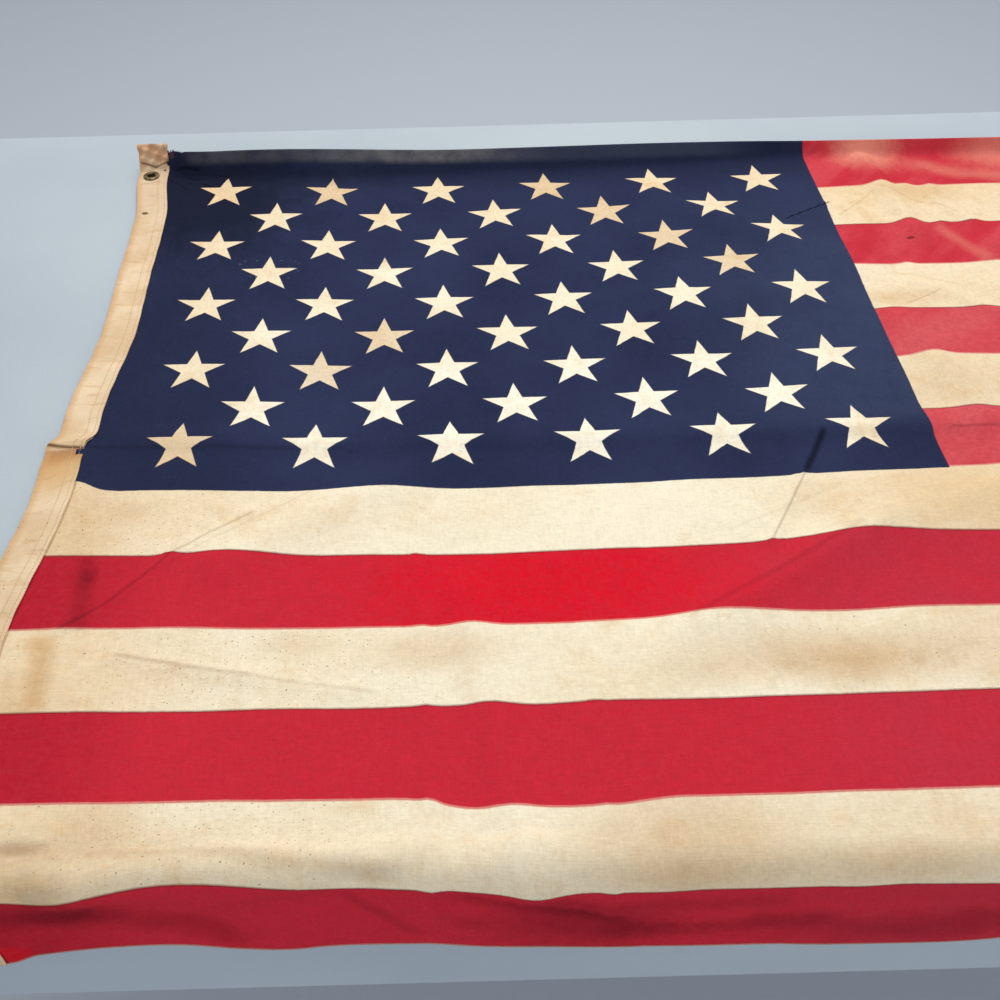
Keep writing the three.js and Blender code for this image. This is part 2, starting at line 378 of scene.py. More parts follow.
def lie_of(u, v):
    """How far the cloth stands off its plain path, from folds, creases and slack."""
    broad = sum(ridge(u, v, *fold) for fold in BROAD_FOLDS)
    sharp = sum(ridge(u, v, *crease) for crease in CREASES)
    slack = sum(
        SLACK * np.sin((u * np.cos(turn) + v * np.sin(turn)) * 2 * math.pi / length + start)
        for turn, length, start in WAVES
    )
    folds = (broad + sharp) * smooth(-TUCK, 55, u)
    return folds + np.maximum(slack, -SLACK_SUNK) * smooth(0, 60, u)


def hoist_shift(v):
    """How far the hoist edge wanders along the table, with its step at the old middle fold."""
    rise = 10 + 8.5 * smooth(15, 95, v) - 1.5 * smooth(130, 200, v) - 12 * smooth(270, 400, v)
    step = -8 * smooth(418, 440, v) - 21 * smooth(480, 650, v)
    return rise + step + 14 * smooth(820, 900, v)


def gather(u, v):
    """How much of the cloth's length is taken up in the slack fold along the table's edge."""
    fold = (21 * hump(u - 115, 95) + 10.5 * hump(u - 270, 90)) * smooth(775, 850, v)
    hem = (4 * hump(u - 45, 35) - 10 * hump(u - 152, 40)) * smooth(834, BOTTOM, v)
    return (fold + hem) * smooth(0, 20, u)


# How far the printed lines bow towards the back along the flag, at stations in stripes.
BOW_AT = np.array([0, 1.07, 2.66, 4.26, 5.85, 7.45, 9.04, 9.9, 10.4, 11, 12, 13.5, 21.5])
BOW_BY = np.array([1, 2, -4, -6, -4, -2, 3, 3, 3, 2, 1, 0, 0.0])


def bow(u, v):
    """How far a place on the cloth lies towards the back from its straight printed line."""
    steps = np.linspace(-1, 22, 231)
    plain = np.interp(steps, BOW_AT, BOW_BY)
    eased = np.convolve(np.pad(plain, 4, mode="edge"), np.ones(9) / 9, mode="valid")
    fade = 1 - 0.75 * smooth(8 * STRIPE, 10.5 * STRIPE, v)
    fade = fade * (1 - smooth(11 * STRIPE, 11.6 * STRIPE, v))
    sag = -9 * smooth(10 * STRIPE, 11 * STRIPE, v) * (1 - smooth(765, 806, v))
    sag = sag * (smooth(250, 306, u) - 0.5 * smooth(380, 430, u))
    seam = 12 * hump(u, 16) * hump(v - 486, 40)
    return np.interp(u / STRIPE, steps, eased) * fade + sag + seam


def curl_start(u):
    """How far below the nominal top edge the cloth begins to curl up, least at the heading."""
    return 5 + (14 + 7 * hump(u - 160, 110)) * smooth(0, 28, u) - 9 * smooth(480, 720, u)


def on_cloth(u, v, offset=0.0):
    """The place in metres of the point (u, v) of the flat cloth, lifted by offset."""
    u, v = np.broadcast_arrays(np.asarray(u, float), np.asarray(v, float))
    x = HOIST_X + u + SKEW * v + hoist_shift(v) * (1 - smooth(0, 48, u))
    path = v - gather(u, v)
    z = TABLE_TOP + LIE + (HEADING_LIFT - LIE) * (1 - smooth(5, 70, u))
    y = TOP_LINE_Y - path
    start = curl_start(u)
    back = np.maximum(start - v, 0)
    turn = np.minimum(back / CURL_RADIUS, CURL_ANGLE)
    straight = back - turn * CURL_RADIUS
    curled_y = TOP_LINE_Y - start + CURL_RADIUS * np.sin(turn) + straight * np.cos(turn)
    curled_z = CURL_RADIUS * (1 - np.cos(turn)) + straight * np.sin(turn)
    over = np.maximum(path - FLAT_END, 0)
    fall = np.minimum(over / ROLL_RADIUS, HANG_ANGLE)
    drop = over - fall * ROLL_RADIUS
    hung_y = TOP_LINE_Y - FLAT_END - ROLL_RADIUS * np.sin(fall) - drop * np.cos(fall)
    hung_z = ROLL_RADIUS * (1 - np.cos(fall)) + drop * np.sin(fall)
    y = np.where(back > 0, curled_y, np.where(over > 0, hung_y, y)) + bow(u, v)
    z = z + np.where(back > 0, curled_z, 0) - np.where(over > 0, hung_z, 0)
    z = z + 1.4 * smooth(FLAT_END - 90, FLAT_END, path)
    tilt = turn + fall
    out = lie_of(u, v) + offset
    return np.stack([x, y - np.sin(tilt) * out, z + np.cos(tilt) * out], -1) * MM


def two_faced(name, upper, lower, keep, material, flat_u, flat_v):
    """A closed sheet from two grids of points, leaving out the cells that aren't kept.
    Its UV map holds the place on the flat cut, in stripes."""
    rows, columns = keep.shape
    across = columns + 1
    layer = (rows + 1) * across
    i, j = np.nonzero(keep)
    a = i * across + j
    cells = np.stack([a, a + across, a + across + 1, a + 1], 1)
    faces = [cells, cells[:, ::-1] + layer]
    padded = np.pad(keep, 1)
    # The cell beyond each of a cell's four sides, and the two corners of that side.
    sides = [
        (padded[:-2, 1:-1], 3, 0), (padded[2:, 1:-1], 1, 2),
        (padded[1:-1, :-2], 0, 1), (padded[1:-1, 2:], 2, 3),
    ]
    for neighbour, start, end in sides:
        open_side = (keep & ~neighbour)[i, j]
        p, q = cells[open_side, start], cells[open_side, end]
        faces.append(np.stack([q, p, p + layer, q + layer], 1))
    faces = np.concatenate(faces)
    points = np.concatenate([upper.reshape(-1, 3), lower.reshape(-1, 3)])
    used = np.zeros(len(points), bool)
    used[faces.ravel()] = True
    renumbered = np.cumsum(used) - 1
    made = add_mesh(name, points[used], renumbered[faces], material)
    flat = np.stack([flat_u.ravel(), flat_v.ravel()], 1) / STRIPE
    flat = np.concatenate([flat, flat])[used]
    loops = np.zeros(len(made.data.loops), np.int32)
    made.data.loops.foreach_get("vertex_index", loops)
    made.data.uv_layers.new(name="cut").data.foreach_set("uv", flat[loops].ravel())
    return made


cloth_material, cloth_surface, w = new_material("printed_cotton", 0.95, specular=0.04)
flat_place = w.node("ShaderNodeUVMap", {"uv_map": "cut"})
u = w.node("ShaderNodeSeparateXYZ", None, {0: flat_place}, 0)
v = w.node("ShaderNodeSeparateXYZ", None, {0: flat_place}, 1)
ragged = w.noise(flat_place, 1.7, 5.0, 0.62) - 0.5
frayed = w.noise(flat_place, 7.0, 5.0, 0.7) - 0.5
uneven = ragged + frayed * 0.7
# The place with a third number of 1, so that one dot product can also take a length away.
tagged_place = w.node("ShaderNodeVectorMath", {"operation": "ADD"}, {0: flat_place, 1: (0, 0, 1)})
broad_noise = w.noise(flat_place, 0.55, 3.0)
fine_noise = w.noise(flat_place, 9.0, 4.0, 0.6)


def patch(at_u, at_v, reach_u, reach_v, soft=0.9, rough=1.1):
    """1 inside an uneven patch of the cloth and 0 away from it; places are in stripes."""
    sockets = {
        0: flat_place,
        1: (1 / reach_u, 1 / reach_v, 0.0),
        2: (-at_u / reach_u, -at_v / reach_v, 0.0),
    }
    local = w.node("ShaderNodeVectorMath", {"operation": "MULTIPLY_ADD"}, sockets)
    away = w.node("ShaderNodeVectorMath", {"operation": "LENGTH"}, {0: local}, "Value")
    away = w.math("MULTIPLY_ADD", uneven, rough, away)
    return away.step(1.0 + soft / 2, 1.0 - soft / 2)


def streak(start, end, width, rough):
    """1 along a line between two places on the cloth, fading at its sides and ends."""
    length = math.hypot(end[0] - start[0], end[1] - start[1])
    run_u, run_v = (end[0] - start[0]) / length, (end[1] - start[1]) / length
    middle_u, middle_v = (start[0] + end[0]) / 2, (start[1] + end[1]) / 2
    along = tagged_place.dot((run_u, run_v, -middle_u * run_u - middle_v * run_v))
    side = tagged_place.dot((run_v, -run_u, middle_v * run_u - middle_u * run_v))
    side = w.math("MULTIPLY_ADD", ragged, rough * width, side)
    ends = abs(along).step(length / 2 + width, length / 2 - width)
    return abs(side).step(width, 0.0) * ends


def layered(patches, streaks=()):
    """The sum of patches and streaks. A patch's row holds its place, its two reaches, how soft
    and how ragged its edge is and its strength. A streak's row holds its start, its end, its
    width, how ragged it is and its strength."""
    total = 0.0
    for *shape, strength in patches:
        total = w.math("MULTIPLY_ADD", patch(*shape), strength, total)
    for *shape, strength in streaks:
        total = w.math("MULTIPLY_ADD", streak(*shape), strength, total)
    return total


# Printed lines: they stray a little, and the ink's edge follows the threads.
stray = (w.noise(flat_place, 0.8, 1.0) - 0.5) * 0.03 + (fine_noise - 0.5) * 0.012
print_u = u + stray
print_v = v + stray
INK_EDGE = 0.008
band = print_v.most(0.02) % 2.0
red_ink = abs(band - 0.5).step(0.5 + INK_EDGE, 0.5 - INK_EDGE)
red_ink = red_ink.most(abs(band - 2.0).step(INK_EDGE, -INK_EDGE))
CANTON_RIGHT = 9.87
CANTON_BOTTOM = 7.0
in_canton = print_u.step(CANTON_RIGHT + INK_EDGE, CANTON_RIGHT - INK_EDGE)
in_canton = in_canton * print_v.step(CANTON_BOTTOM + 3 * INK_EDGE, CANTON_BOTTOM + INK_EDGE)

# Stars: two interleaved grids, five-pointed, one point towards the top edge.
STAR_FIRST_U = 0.27
STAR_STEP_U = 9.57 / 12
STAR_STEP_V = 0.7
STAR_REACH = 0.4045
INNER_SHARE = 0.382
POINT_TURN = math.radians(72)
inner_x = STAR_REACH * INNER_SHARE * math.cos(POINT_TURN / 2)
inner_y = STAR_REACH * INNER_SHARE * math.sin(POINT_TURN / 2)
side_x, side_y = inner_y, STAR_REACH - inner_x
side_length = math.hypot(side_x, side_y)


def star_grid(first_u, first_v):
    """1 inside the stars of one grid."""
    cell_u = 2 * STAR_STEP_U
    cell_v = 2 * STAR_STEP_V
    local_u = (print_u - first_u + cell_u / 2) % cell_u - cell_u / 2
    local_v = (print_v - first_v + cell_v / 2) % cell_v - cell_v / 2
    reach = (local_u * local_u + local_v * local_v) ** 0.5
    turn = w.math("ARCTAN2", local_u, 0.0 - local_v)
    folded = abs((turn + POINT_TURN / 2) % POINT_TURN - POINT_TURN / 2)
    x = reach * w.math("COSINE", folded)
    y = reach * w.math("SINE", folded)
    inside = (STAR_REACH * side_x - x * side_x - y * side_y) / side_length
    return inside.step(-0.006, 0.006)


outer_stars = star_grid(STAR_FIRST_U + STAR_STEP_U, STAR_STEP_V)
inner_stars = star_grid(STAR_FIRST_U + 2 * STAR_STEP_U, 2 * STAR_STEP_V)
within = (u > STAR_FIRST_U + STAR_STEP_U) * (u < STAR_FIRST_U + 11 * STAR_STEP_U)
within = within * (v > STAR_STEP_V) * (v < 9 * STAR_STEP_V)
stars = outer_stars.most(inner_stars * within) * (v > 0.1)

# Bare cloth: cream, yellowed to tan at the hoist, along old folds and in water marks, and darker
# tan towards the roll over the table edge, partly yellowing and partly painted shade.
cream = w.between(paint(243, 229, 199), paint(247, 236, 210), broad_noise.step(0.35, 0.65))
TAN_PATCHES = [
    (4.3, 7.6, 3.4, 0.8, 0.9, 1.1, -0.2), (2.4, 7.45, 1.3, 0.5, 1.4, 1.1, 0.42),
    (9.2, 7.5, 1.3, 0.5, 1.4, 1.1, 0.5), (1.7, 9.6, 1.2, 0.4, 1.6, 1.1, 0.16),
]
tan_and_roll_shade_share = (
    layered(TAN_PATCHES)
    + u.step(2.2, 0.2) * 0.45
    + u.step(8.6, 10.4) * (v.step(2.6, 4.0) * 0.2 + 0.22)
    + v.step(3.2, 0.6) * 0.42
    # Darker tan towards the roll over the front edge: partly yellowing, partly painted shade of
    # the roll.
    + v.step(10.9, 11.8) * 0.22
    + ragged.step(-0.02, 0.26) * 0.4
    + frayed.step(-0.05, 0.25) * 0.26
)
cream = cream.toward(paint(253, 248, 230), patch(5.8, 5.7, 3.6, 1.0, 1.2) * 0.75)
cream = cream.toward(paint(224, 190, 143), tan_and_roll_shade_share.most(0.0).least(0.8))

# Stars that have yellowed more than the rest, brown places where water has dried, and fine tan
# lines of painted shade along creases in the white stripes.
TAN_STARS = [
    (5.86, 0.72), (6.63, 1.41), (7.45, 2.1), (8.32, 2.75), (3.44, 4.22), (2.66, 4.95),
    (1.06, 6.33), (2.66, 0.72), (3.46, 2.1),
]
tan_star = 0.0
for at_u, at_v in TAN_STARS:
    settings = {"operation": "SUBTRACT"}
    apart = w.node("ShaderNodeVectorMath", settings, {0: flat_place, 1: (at_u, at_v, 0.0)})
    tan_star = apart.dot(apart).step(0.3, 0.14) + tan_star
WATER_PATCHES = [
    (7.9, 9.52, 1.15, 0.26, 1.5, 1.7, 0.5), (8.15, 9.72, 0.7, 0.24, 1.4, 1.5, 0.3),
    (6.6, 9.72, 0.5, 0.18, 1.6, 1.6, 0.2), (6.2, 11.4, 0.8, 0.5, 1.6, 1.4, 0.5),
    (6.0, 11.82, 0.6, 0.12, 1.5, 1.6, 0.22), (8.0, 11.74, 0.8, 0.16, 1.6, 1.9, 0.34),
    (8.5, 11.1, 0.9, 0.4, 1.8, 1.8, 0.16), (4.0, 9.32, 0.55, 0.22, 1.6, 1.7, 0.38),
    (2.6, 9.2, 0.35, 0.14, 1.6, 1.7, 0.25), (0.18, 9.85, 0.12, 0.3, 1.4, 1.1, 0.35),
    (0.95, 11.2, 0.35, 0.25, 1.6, 1.6, 0.35), (0.15, 7.6, 0.4, 0.7, 1.6, 1.1, 0.42),
    (0.7, 7.35, 0.25, 0.14, 1.6, 1.1, 0.25), (9.3, 9.4, 0.5, 0.5, 1.8, 1.1, 0.22),
    (10.3, 3.75, 0.5, 0.16, 1.6, 1.1, 0.3), (10.2, 5.6, 0.8, 0.4, 1.8, 1.1, 0.25),
    (11.3, 1.2, 0.5, 0.22, 1.6, 1.1, 0.4),
]
# The first streak is a dried water trail; the thin ones after it are painted shade along creases
# in the white stripes.
WATER_AND_CREASE_SHADE_STREAKS = [
    ((0.3, 9.08), (0.33, 10.0), 0.12, 1.2, 0.62),
    ((10.0, 1.75), (10.65, 1.15), 0.03, 1.6, 0.35), ((10.7, 1.1), (11.6, 1.7), 0.03, 1.6, 0.3),
    ((10.3, 3.9), (10.9, 3.6), 0.03, 1.6, 0.35), ((10.4, 3.2), (11.2, 3.5), 0.025, 1.6, 0.25),
]
water_marks_and_crease_shade = layered(WATER_PATCHES, WATER_AND_CREASE_SHADE_STREAKS) + tan_star * 0.42
cream = cream.toward(paint(198, 152, 96), water_marks_and_crease_shade.least(0.8) * 0.85)

# Ink: the red is fresh in the middle, duller at the hoist and bleached beside the stars.
red = w.between(paint(204, 42, 58), paint(222, 22, 40), patch(5.1, 8.45, 1.8, 0.8, 1.6))
red = red.toward(paint(176, 28, 44), u.step(1.4, 0.1) * v.step(7.5, 8.0) * 0.8)
# A painted highlight: the turned-up corner at the foot of the hoist is painted a brighter,
# fresher red where light falls on it.
red = red.toward(paint(212, 22, 34), patch(0.06, 12.88, 0.2, 0.17, 0.5, 0.8) * 0.8)
sun = v.step(7.4, 6.8)
slanted = w.point(u * 0.9 + v * 0.8, v * 0.25 - u * 0.25)
bleached = w.noise(slanted, 1.5, 3.0, 0.55).step(0.38, 0.62)
sun_share = (v.step(3.0, 4.6) * 0.42 + bleached * 0.3 + 0.15).least(0.85)
red = red.toward(paint(214, 96, 100), sun * sun_share)
red = red.toward(paint(190, 40, 56), sun * v.step(3.6, 2.6) * (1 - bleached) * 0.5)
red = red.toward(paint(196, 46, 60), patch(11.7, 0.3, 0.6, 0.5, 1.4) * 0.6)
worn = w.noise(flat_place, 12.0, 5.0, 0.75).step(0.38, 0.62)
red = red.toward(paint(178, 50, 64), worn * 0.28)
# Places beside the stars where the red has washed out to a pale peach.
PEACH_PATCHES = [
    (10.8, 0.08, 0.42, 0.42, 1.4, 1.0, 0.75), (12.9, 0.1, 0.6, 0.4, 1.6, 1.1, 0.5),
]
PEACH_STREAKS = [
    ((11.4, 0.4), (12.9, 0.9), 0.3, 1.2, 0.35), ((11.3, 2.05), (11.75, 3.0), 0.16, 1.0, 0.25),
]
peach = layered(PEACH_PATCHES, PEACH_STREAKS)
red = red.toward(paint(230, 154, 130), (peach * sun).least(0.85))
dull_right = u.step(6.4, 8.6) * (1 - sun) * (0.4 + ragged * 1.2).most(0.0)
red = red.toward(paint(186, 54, 70), dull_right)

# The blue is paler to the right and darkest in the hoist corner; its top edge is rubbed grey.
navy = w.between(paint(40, 46, 74), paint(47, 54, 84), broad_noise.step(0.3, 0.7))
faded_right = u.step(6.5, 9.8) * v.step(0.4, 3.6) * v.step(6.6, 5.8)
navy = navy.toward(paint(60, 70, 98), faded_right * (0.6 + ragged * 0.8))
navy = navy.toward(paint(36, 40, 64), u.step(2.4, 0.3) * 0.6)
navy = navy.toward(paint(36, 40, 62), v.step(0.9, 0.3) * 0.6)
navy = navy.toward(paint(24, 28, 44), patch(0.6, 0.9, 1.5, 1.3, 1.2) * 0.8)
rubbed = 0.5 + w.noise(flat_place, 3.2, 4.0).step(0.3, 0.65) * 0.5
rubbed_along = u.step(0.2, 0.8) * u.step(6.4, 4.6) * 0.35
rubbed_along = rubbed_along + patch(4.0, 0.0, 1.3, 2.0, 1.6, 0.6) * 0.6
navy = navy.toward(paint(116, 114, 116), v.step(0.1, -0.02) * rubbed * rubbed_along)
pale_edge = v.step(0.12, 0.0) * u.step(4.4, 6.5) * u.step(9.4, 8.2)
navy = navy.toward(paint(74, 80, 98), pale_edge * 0.5)
navy = navy.toward(paint(74, 52, 70), v.step(-0.13, -0.155) * u.step(0.14, 0.08))

colour = cream.toward(red, red_ink)
colour = colour.toward(navy.toward(cream, stars), in_canton)

# Dark thread lines where the red begins, and a pale one where it ends.
line_place = (print_v + 0.5) % 2.0
below_canton = 1 - in_canton
start_line = abs(line_place - 0.5).step(0.022, 0.006) * (v > 0.5) * below_canton
end_line = abs(line_place - 1.49).step(0.02, 0.006) * below_canton
colour = colour.toward(paint(84, 22, 26), start_line * 0.5)
colour = colour.toward(paint(252, 226, 198), (end_line * 0.28).most(v.step(12.972, 12.99) * 0.25))

# Dark marks over the cloth: smudges, brown blotches and specks of dirt, dark lines along the old
# middle fold and beside the heading, and painted shade along the creases, in the troughs of the
# stripe on the edge roll and on the hanging stripes.
on_navy = in_canton * (1 - stars)
# The smudge, the brown blotches and the small spot are dirt; the patches on the hanging bottom
# stripe are painted shade.
STAIN_AND_PAINTED_SHADE_PATCHES = [
    (0.44, 8.3, 0.07, 0.12, 1.6, 2.4, 0.4), (0.42, 11.45, 0.16, 0.08, 1.4, 2.4, 0.4),
    (0.5, 11.88, 0.2, 0.16, 1.6, 2.6, 0.36), (0.5, 12.3, 0.5, 0.16, 1.9, 1.2, 0.5),
    (5.1, 12.6, 0.8, 0.3, 1.8, 1.8, 0.5), (8.2, 12.7, 1.3, 0.2, 1.8, 1.8, 0.4),
    (10.82, 2.4, 0.05, 0.025, 0.8, 0.6, 0.8),
]
# The smudge trail is dirt; the lines along the creases, in the troughs and across the hanging
# stripes are painted shade; those along the middle fold and beside the heading are only darker.
STAIN_AND_PAINTED_SHADE_STREAKS = [
    ((0.0, 6.31), (3.0, 6.33), 0.05, 0.5, 0.22), ((9.2, 1.83), (9.93, 1.44), 0.022, 0.5, 0.95),
    ((0.7, 0.48), (1.14, 0.69), 0.026, 0.5, 0.95), ((0.1, 0.05), (0.62, 0.14), 0.03, 0.5, 0.7),
    ((0.1, 0.2), (0.6, 0.32), 0.026, 0.5, 0.6), ((0.04, 0.3), (0.42, 0.62), 0.03, 0.5, 0.5),
    ((0.3, 0.2), (1.1, 0.24), 0.02, 1.2, 0.5), ((0.012, 7.03), (0.012, 13.0), 0.014, 0.2, 0.6),
    ((8.6, 6.34), (8.24, 6.98), 0.07, 0.5, 0.75),
    ((8.24, 6.98), (7.64, 7.98), 0.024, 0.5, 0.42), ((0.4, 8.0), (0.46, 9.0), 0.12, 1.6, 0.3),
    ((0.34, 8.99), (1.19, 8.01), 0.035, 0.5, 0.34),
    ((1.19, 8.01), (2.02, 7.37), 0.035, 0.5, 0.34), ((1.1, 8.2), (2.8, 6.9), 0.03, 0.5, 0.12),
    ((0.8, 9.33), (2.2, 9.62), 0.05, 0.5, 0.3), ((2.2, 9.62), (3.4, 9.82), 0.04, 0.5, 0.16),
    ((6.55, 9.05), (8.62, 7.88), 0.07, 0.5, 0.2), ((0.3, 11.5), (1.9, 11.66), 0.2, 1.2, 0.26),
    ((1.9, 11.66), (3.6, 11.8), 0.16, 1.2, 0.3), ((0.5, 12.35), (2.1, 12.85), 0.24, 1.0, 0.36),
    ((3.1, 12.1), (3.7, 12.8), 0.12, 1.4, 0.25), ((4.1, 12.2), (5.6, 12.55), 0.14, 1.4, 0.3),
    ((5.4, 12.75), (7.4, 12.5), 0.2, 2.2, 0.3), ((4.8, 12.2), (7.0, 12.25), 0.2, 2.2, 0.22),
    ((10.1, 6.36), (13.5, 6.42), 0.03, 0.5, 0.3), ((7.2, 7.8), (8.6, 7.2), 0.05, 0.5, 0.1),
]
stains_and_painted_shade = layered(STAIN_AND_PAINTED_SHADE_PATCHES, STAIN_AND_PAINTED_SHADE_STREAKS).least(0.9)

# Specks of dirt, thickest in a few places.
SPECK_PATCHES = [
    (0.6, 7.5, 0.9, 0.6, 1.4, 1.1, 1.0), (2.3, 9.5, 1.3, 0.6, 1.4, 1.1, 1.0),
    (2.0, 11.3, 1.2, 0.6, 1.4, 1.1, 1.0), (8.6, 9.4, 1.8, 0.9, 0.9, 1.1, 0.35),
]
speck_area = layered(SPECK_PATCHES) + u.step(5.6, 1.0) * v.step(6.6, 7.4) * 0.4
speck_area = speck_area.least(1.0)
speck_noise = w.noise(flat_place, 34.0, 1.0)
eased = speck_area * 0.065
specks = speck_noise.step(0.76 - eased, 0.79 - eased) * speck_area.step(0.0, 0.3)

# Dirt and painted shade darken the cloth: brown on the cream, deep red on the red and near black
# on the blue.
colour = colour.toward(paint(126, 80, 44), stains_and_painted_shade * (1 - on_navy) * (1 - red_ink) * 0.85)
colour = colour.toward(paint(66, 16, 26), stains_and_painted_shade * (1 - in_canton) * red_ink * 0.85)
colour = colour.toward(paint(14, 16, 24), stains_and_painted_shade * on_navy)
colour = colour.toward(paint(124, 84, 52), specks * (1 - on_navy) * (0.7 - red_ink * 0.45))

# A little pale lint clings to the blue.
lint = w.noise(flat_place, 17.0, 0.0).step(0.74, 0.76) * patch(1.85, 2.66, 0.4, 0.3)
colour = colour.toward(paint(120, 124, 140), lint * on_navy * 0.6)

# Weave: thicker and thinner threads both ways, too fine to count.
along = w.noise(w.point(u * 0.06, v), 70.0, 3.0, 0.7)
down = w.noise(w.point(u, v * 0.06), 70.0, 3.0, 0.7)
weave = (along + down) * 0.5
mottled = w.noise(flat_place, 20.0, 3.0, 0.7) * 0.3 + w.noise(flat_place, 6.0, 3.0, 0.6) * 0.16
colour = colour.shaded(0.52 + weave * 0.5 + mottled)
plug(colour, cloth_surface, "Base Color")
raise_grain(w, cloth_surface, weave + fine_noise * 0.6 + ragged * 1.5, 0.0008)

# The mesh is finest at the heading, at the curled top edge and on the front roll. Above the
# top edge only a torn scrap beside the heading is left.
columns = np.concatenate([
    np.arange(-TUCK, 24, 1.5), np.arange(24, 60, 3.0), np.arange(60, 990, 5.0),
    np.arange(990, CLOTH_LENGTH, 9.0), [CLOTH_LENGTH],
])
rows = np.concatenate([
    np.arange(-20, -8, 1.5), np.arange(-8, 40, 2.5), np.arange(40, 780, 5.5),
    np.arange(780, BOTTOM - 1, 3.5), [BOTTOM],
])
SCRAP_WIDTH = 24
SCRAP_HEIGHT = 8
grid_u, grid_v = np.meshgrid(columns, rows)
mid_u = (grid_u[1:, 1:] + grid_u[:-1, :-1]) / 2
mid_v = (grid_v[1:, 1:] + grid_v[:-1, :-1]) / 2
torn_top = -TOP_EXTRA - SCRAP_HEIGHT * (1 - smooth(2, SCRAP_WIDTH, mid_u))
torn_top = torn_top - 1.2 * np.sin(mid_u * 2.1) * (mid_u < 7)
scrap = (mid_u > 0) & (mid_u < SCRAP_WIDTH) & (mid_v > torn_top)
keep = (mid_v > -TOP_EXTRA) | scrap
cloth = two_faced(
    "flag_cloth",
    on_cloth(grid_u, grid_v, CLOTH_HALF), on_cloth(grid_u, grid_v, -CLOTH_HALF),
    keep, cloth_material, grid_u, grid_v,
)
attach(cloth, "root")
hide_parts("flag_field")


# ---------------------------------------------------------------- heading
# A strip of cotton canvas, cut 62 mm wide and folded over the hoist edge of the cloth, so
# that it shows 31 mm on each face. It is yellowed, creased across and stained at its fold.

heading_material, heading_surface, w = new_material("heading_canvas", 0.95, specular=0.05)
flat_place = w.node("ShaderNodeUVMap", {"uv_map": "cut"})
u = w.node("ShaderNodeSeparateXYZ", None, {0: flat_place}, 0)
v = w.node("ShaderNodeSeparateXYZ", None, {0: flat_place}, 1)
ragged = w.noise(flat_place, 2.4, 5.0, 0.65) - 0.5
uneven = ragged
tagged_place = w.node("ShaderNodeVectorMath", {"operation": "ADD"}, {0: flat_place, 1: (0, 0, 1)})
cloudy = w.noise(flat_place, 1.3, 4.0).step(0.35, 0.65)
canvas = w.between(paint(218, 188, 150), paint(234, 210, 176), cloudy)
canvas = canvas.toward(paint(208, 186, 160), v.step(2.6, 0.6) * 0.45)
canvas = canvas.toward(paint(214, 172, 116), v.step(6.35, 6.5) * v.step(7.4, 6.6) * 0.8)
canvas = canvas.toward(paint(170, 112, 62), v.step(6.3, 6.36) * v.step(6.75, 6.4) * 0.7)
canvas = canvas.toward(paint(206, 138, 88), v.step(0.05, -0.2) * ragged.step(-0.15, 0.1) * 0.7)
canvas = canvas.toward(paint(206, 158, 108), abs(u + 0.43).step(0.1, 0.0) * 0.6)
canvas = canvas.toward(paint(200, 156, 112), abs(u).step(0.03, 0.0) * v.step(6.9, 6.6) * 0.3)
bars = w.noise(w.point(u * 0.3, v), 9.0, 2.0).step(0.55, 0.7)
canvas = canvas.toward(paint(206, 168, 120), bars * 0.35)
CANVAS_PATCHES = [
    (-0.32, 1.24, 0.045, 0.035, 0.5, 1.1, 0.9),
]
CANVAS_STREAKS = [
    ((-0.45, 6.25), (0.0, 6.34), 0.035, 0.5, 0.9),
    ((-0.42, -0.1), (-0.2, -0.03), 0.03, 2.0, 0.75),
    ((-0.2, -0.03), (0.0, -0.12), 0.03, 2.0, 0.75),
    ((-0.4, 0.42), (-0.1, 0.36), 0.02, 2.0, 0.35),
]
# A spot, the stain at the fold and dark lines at the top end darken the canvas; the two lines
# down the stitch rows are painted shade where the stitches pull the canvas in.
stains_and_painted_shade = (
    layered(CANVAS_PATCHES, CANVAS_STREAKS)
    + abs(u + 0.043).step(0.009, 0.003) * 0.3
    + abs(u + 0.137).step(0.009, 0.003) * 0.3
)
canvas = canvas.toward(paint(94, 58, 34), stains_and_painted_shade.least(0.85))
specks = w.noise(flat_place, 26.0, 1.0).step(0.72, 0.76) * v.step(6.4, 7.6)
canvas = canvas.toward(paint(110, 76, 46), specks * 0.7)
along = w.noise(w.point(u * 0.08, v), 46.0, 3.0, 0.7)
down = w.noise(w.point(u, v * 0.08), 46.0, 3.0, 0.7)
threads = along + down
canvas = canvas.shaded(0.86 + threads * 0.14)
plug(canvas, heading_surface, "Base Color")
raise_grain(w, heading_surface, threads * 0.6 + ragged * 1.5 + bars * 0.5, 0.0008)

TAPE_HALF = 0.35
PRESSED = 0.5
LIP = 0.8
FOLD_TURN = 0.8
HEADING_TOP = -26
RING_U = -17.5
RING_VS = (14, BOTTOM - 24)
RING_CUT = 5.4


def tape_stand(u_there):
    """How far the tape stands off the middle layer, more where the cloth's edge lies in it."""
    return PRESSED + (LIP - PRESSED) * smooth(-10, -6.5, u_there)


def tape_section(run):
    """Where the tape lies, for a distance run from its inner edge on the upper face."""
    under = run > HEADING_WIDTH
    u_there = np.where(under, run - 2 * HEADING_WIDTH, -run)
    spread = tape_stand(u_there) * np.sqrt(np.clip((u_there + HEADING_WIDTH) / FOLD_TURN, 0, 1))
    return u_there, np.where(under, -spread, spread)


def rumple(u_there, v_there):
    """Small unevenness of the tape, most at its crushed top end and its old fold."""
    crushed = 1.6 * np.sin(u_there * 0.5 + v_there * 0.35)
    crushed = crushed + 1.3 * np.sin(u_there * 0.23 - v_there * 0.62 + 1)
    fold = 2.6 * hump(v_there - 433, 5) - 1.0 * hump(v_there - 446, 8)
    bars_up = 0.35 * np.sin(v_there * 0.21 + 0.5 * np.sin(v_there * 0.05))
    return crushed * smooth(12, -12, v_there) + fold + bars_up * smooth(80, 160, v_there)


